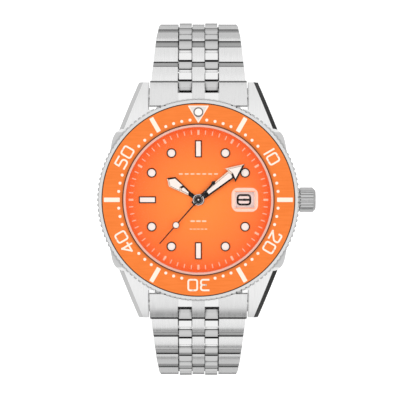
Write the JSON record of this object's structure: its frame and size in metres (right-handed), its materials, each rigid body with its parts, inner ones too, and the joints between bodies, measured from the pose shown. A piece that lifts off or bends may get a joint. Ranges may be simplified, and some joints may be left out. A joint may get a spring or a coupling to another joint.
{
  "type": "dive watch",
  "caption": "Steel dive watch with an orange dial and turning bezel, screw-style crown and a tapering five-column bracelet on a folding clasp.",
  "frame": {"origin": "centre of the case back's outer face", "axes": "+Z out of the dial, +Y toward twelve o'clock, +X toward the crown"},
  "size_m": [0.0439, 0.0738, 0.0489],
  "materials": {
    "steel_case": "brushed and polished",
    "steel_polished": "polished",
    "steel_bezel": "polished coin edge",
    "orange_insert": "circular brushed, lacquered",
    "orange_dial": "sunray lacquer",
    "crystal_glass": "clear",
    "magnifier_glass": "clear",
    "gasket_rubber": "matt",
    "flange_metal": "satin",
    "marker_frames": "polished",
    "hand_metal": "polished",
    "movement_plate": "rhodium grained",
    "holder_metal": "satin",
    "brass_wheels": "polished",
    "screw_steel": "polished",
    "date_white": "matt print",
    "rotor_metal": "striped",
    "link_steel": "brushed with polished columns",
    "clasp_steel": "brushed"
  },
  "bodies": {
    "case": {"mid_case": "steel_case", "case_back": "steel_case", "case_back_gasket": "gasket_rubber", "crystal_gasket": "gasket_rubber", "crystal": "crystal_glass", "rehaut_ring": "flange_metal", "date_magnifier": "magnifier_glass", "crown_tube": "steel_polished", "bezel_click_spring": "screw_steel", "end_link_12": "link_steel", "end_link_6": "link_steel", "spring_bars": "screw_steel", "dial": "orange_dial", "hour_markers": "marker_frames", "main_plate": "movement_plate", "train_bridge": "movement_plate", "movement_screws": "screw_steel", "movement_holder": "holder_metal"},
    "bezel": {"bezel_ring": "steel_bezel", "bezel_insert": "orange_insert"},
    "clutch": {"clutch_wheel": "screw_steel"},
    "crown": {"crown": "steel_polished", "winding_stem": "screw_steel"},
    "seconds": {"second_hand": "hand_metal", "fourth_wheel": "brass_wheels"},
    "minutes": {"minute_hand": "hand_metal", "cannon_pinion": "screw_steel", "centre_wheel": "brass_wheels"},
    "hours": {"hour_hand": "hand_metal", "hour_wheel": "brass_wheels"},
    "motion_wheel": {"minute_wheel": "brass_wheels"},
    "third": {"third_wheel": "brass_wheels"},
    "escape": {"escape_wheel": "screw_steel"},
    "pallet": {"pallet_fork": "screw_steel"},
    "balance": {"balance_wheel": "brass_wheels"},
    "barrel": {"mainspring_barrel": "brass_wheels"},
    "winding_rotor": {"rotor": "rotor_metal"},
    "date": {"date_ring": "date_white"},
    "bracelet_12_1": {"link_12_1": "link_steel"},
    "bracelet_12_2": {"link_12_2": "link_steel"},
    "bracelet_12_3": {"link_12_3": "link_steel"},
    "bracelet_12_4": {"link_12_4": "link_steel"},
    "bracelet_12_5": {"link_12_5": "link_steel"},
    "bracelet_12_6": {"link_12_6": "link_steel"},
    "bracelet_12_7": {"link_12_7": "link_steel"},
    "bracelet_12_8": {"link_12_8": "link_steel"},
    "bracelet_6_1": {"link_6_1": "link_steel"},
    "bracelet_6_2": {"link_6_2": "link_steel"},
    "bracelet_6_3": {"link_6_3": "link_steel"},
    "bracelet_6_4": {"link_6_4": "link_steel"},
    "bracelet_6_5": {"link_6_5": "link_steel"},
    "bracelet_6_6": {"link_6_6": "link_steel"},
    "bracelet_6_7": {"link_6_7": "link_steel"},
    "bracelet_6_8": {"link_6_8": "link_steel"},
    "clasp_inner": {"clasp_blade_inner": "clasp_steel"},
    "clasp_outer": {"clasp_blade_outer": "clasp_steel"},
    "clasp_top": {"clasp_cover": "clasp_steel"},
    "clasp_lock": {"safety_lock": "clasp_steel"}
  },
  "joints": [
    {"name": "bezel_turn", "type": "hinge", "parent": "case", "child": "bezel", "pos_m": [0, 0, 0.009], "axis": [0, 0, 1], "continuous": true},
    {"name": "crown_turn", "type": "hinge", "parent": "case", "child": "clutch", "pos_m": [0, 0, 0.005], "axis": [1, 0, 0], "continuous": true},
    {"name": "crown_pull", "type": "slide", "parent": "clutch", "child": "crown", "axis": [1, 0, 0], "range_m": [0, 0.0016]},
    {"name": "seconds_turn", "type": "hinge", "parent": "case", "child": "seconds", "pos_m": [0, 0, 0.005], "axis": [0, 0, -1], "continuous": true},
    {"name": "minutes_turn", "type": "hinge", "parent": "case", "child": "minutes", "pos_m": [0, 0, 0.005], "axis": [0, 0, -1], "continuous": true},
    {"name": "hours_turn", "type": "hinge", "parent": "case", "child": "hours", "pos_m": [0, 0, 0.007], "axis": [0, 0, -1], "continuous": true},
    {"name": "minute_wheel_turn", "type": "hinge", "parent": "case", "child": "motion_wheel", "pos_m": [-0.0015, 0.0026, 0.0062], "axis": [0, 0, -1], "continuous": true},
    {"name": "third_wheel_turn", "type": "hinge", "parent": "case", "child": "third", "pos_m": [-0.00398, -0.0023, 0.004], "axis": [0, 0, -1], "continuous": true},
    {"name": "escape_wheel_turn", "type": "hinge", "parent": "case", "child": "escape", "pos_m": [0.00341, -0.00286, 0.0034], "axis": [0, 0, -1], "continuous": true},
    {"name": "barrel_turn", "type": "hinge", "parent": "case", "child": "barrel", "pos_m": [0, 0.00588, 0.004], "axis": [0, 0, -1], "continuous": true},
    {"name": "pallet_swing", "type": "hinge", "parent": "case", "child": "pallet", "pos_m": [0.00468, -0.0053, 0.0035], "axis": [0, 0, 1], "range_deg": [-4, 4]},
    {"name": "balance_swing", "type": "hinge", "parent": "case", "child": "balance", "pos_m": [0.0051, -0.0061, 0.0043], "axis": [0, 0, 1], "range_deg": [-270, 270], "stiffness_Nm_per_rad": 0.0000002},
    {"name": "rotor_turn", "type": "hinge", "parent": "case", "child": "winding_rotor", "pos_m": [0, 0, 0.002], "axis": [0, 0, 1], "continuous": true},
    {"name": "date_turn", "type": "hinge", "parent": "case", "child": "date", "pos_m": [0, 0, 0.0061], "axis": [0, 0, 1], "continuous": true},
    {"name": "link_12_1_bend", "type": "hinge", "parent": "case", "child": "bracelet_12_1", "pos_m": [0, 0.0232, 0.0023], "axis": [1, 0, 0], "range_deg": [0, 10]},
    {"name": "link_12_2_bend", "type": "hinge", "parent": "bracelet_12_1", "child": "bracelet_12_2", "pos_m": [0, 0.02731, 0.00047], "axis": [1, 0, 0], "range_deg": [0, 3]},
    {"name": "link_12_3_bend", "type": "hinge", "parent": "bracelet_12_2", "child": "bracelet_12_3", "pos_m": [0, 0.03142, -0.00136], "axis": [1, 0, 0], "range_deg": [0, 32]},
    {"name": "link_12_4_bend", "type": "hinge", "parent": "bracelet_12_3", "child": "bracelet_12_4", "pos_m": [0, 0.03413, -0.00495], "axis": [1, 0, 0], "range_deg": [0, 20]},
    {"name": "link_12_5_bend", "type": "hinge", "parent": "bracelet_12_4", "child": "bracelet_12_5", "pos_m": [0, 0.03567, -0.00918], "axis": [1, 0, 0], "range_deg": [0, 27]},
    {"name": "link_12_6_bend", "type": "hinge", "parent": "bracelet_12_5", "child": "bracelet_12_6", "pos_m": [0, 0.03536, -0.01367], "axis": [1, 0, 0], "range_deg": [0, 15]},
    {"name": "link_12_7_bend", "type": "hinge", "parent": "bracelet_12_6", "child": "bracelet_12_7", "pos_m": [0, 0.03411, -0.018], "axis": [1, 0, 0], "range_deg": [0, 15]},
    {"name": "link_12_8_bend", "type": "hinge", "parent": "bracelet_12_7", "child": "bracelet_12_8", "pos_m": [0, 0.032, -0.02197], "axis": [1, 0, 0], "range_deg": [0, 19]},
    {"name": "link_6_1_bend", "type": "hinge", "parent": "case", "child": "bracelet_6_1", "pos_m": [0, -0.0232, 0.0023], "axis": [-1, 0, 0], "range_deg": [0, 19]},
    {"name": "link_6_2_bend", "type": "hinge", "parent": "bracelet_6_1", "child": "bracelet_6_2", "pos_m": [0, -0.02697, -0.00015], "axis": [-1, 0, 0], "range_deg": [0, 5]},
    {"name": "link_6_3_bend", "type": "hinge", "parent": "bracelet_6_2", "child": "bracelet_6_3", "pos_m": [0, -0.03066, -0.00273], "axis": [-1, 0, 0], "range_deg": [0, 17]},
    {"name": "link_6_4_bend", "type": "hinge", "parent": "bracelet_6_3", "child": "bracelet_6_4", "pos_m": [0, -0.03361, -0.00613], "axis": [-1, 0, 0], "range_deg": [0, 19]},
    {"name": "link_6_5_bend", "type": "hinge", "parent": "bracelet_6_4", "child": "bracelet_6_5", "pos_m": [0, -0.03551, -0.01021], "axis": [-1, 0, 0], "range_deg": [0, 30]},
    {"name": "link_6_6_bend", "type": "hinge", "parent": "bracelet_6_5", "child": "bracelet_6_6", "pos_m": [0, -0.03536, -0.0147], "axis": [-1, 0, 0], "range_deg": [0, 17]},
    {"name": "link_6_7_bend", "type": "hinge", "parent": "bracelet_6_6", "child": "bracelet_6_7", "pos_m": [0, -0.03412, -0.01903], "axis": [-1, 0, 0], "range_deg": [0, 15]},
    {"name": "link_6_8_bend", "type": "hinge", "parent": "bracelet_6_7", "child": "bracelet_6_8", "pos_m": [0, -0.032, -0.023], "axis": [-1, 0, 0], "range_deg": [0, 19]},
    {"name": "clasp_inner_fold", "type": "hinge", "parent": "bracelet_12_8", "child": "clasp_inner", "pos_m": [0, 0.02888, -0.02521], "axis": [1, 0, 0], "range_deg": [0, 12]},
    {"name": "clasp_outer_fold", "type": "hinge", "parent": "clasp_inner", "child": "clasp_outer", "pos_m": [0, -0.02452, -0.02785], "axis": [-1, 0, 0], "range_deg": [0, 85]},
    {"name": "clasp_cover_fold", "type": "hinge", "parent": "clasp_outer", "child": "clasp_top", "pos_m": [0, 0.02511, -0.02782], "axis": [1, 0, 0], "range_deg": [0, 120]},
    {"name": "safety_lock_flip", "type": "hinge", "parent": "clasp_top", "child": "clasp_lock", "pos_m": [0, -0.01659, -0.03278], "axis": [1, 0, 0], "range_deg": [0, 75]}
  ],
  "couplings": [
    {"joint": "minutes_turn", "follows": "seconds_turn", "ratio": 0.016667},
    {"joint": "hours_turn", "follows": "seconds_turn", "ratio": 0.0013889},
    {"joint": "minute_wheel_turn", "follows": "seconds_turn", "ratio": -0.0055556},
    {"joint": "third_wheel_turn", "follows": "seconds_turn", "ratio": -0.125},
    {"joint": "escape_wheel_turn", "follows": "seconds_turn", "ratio": -10},
    {"joint": "barrel_turn", "follows": "seconds_turn", "ratio": -0.0027778}
  ]
}
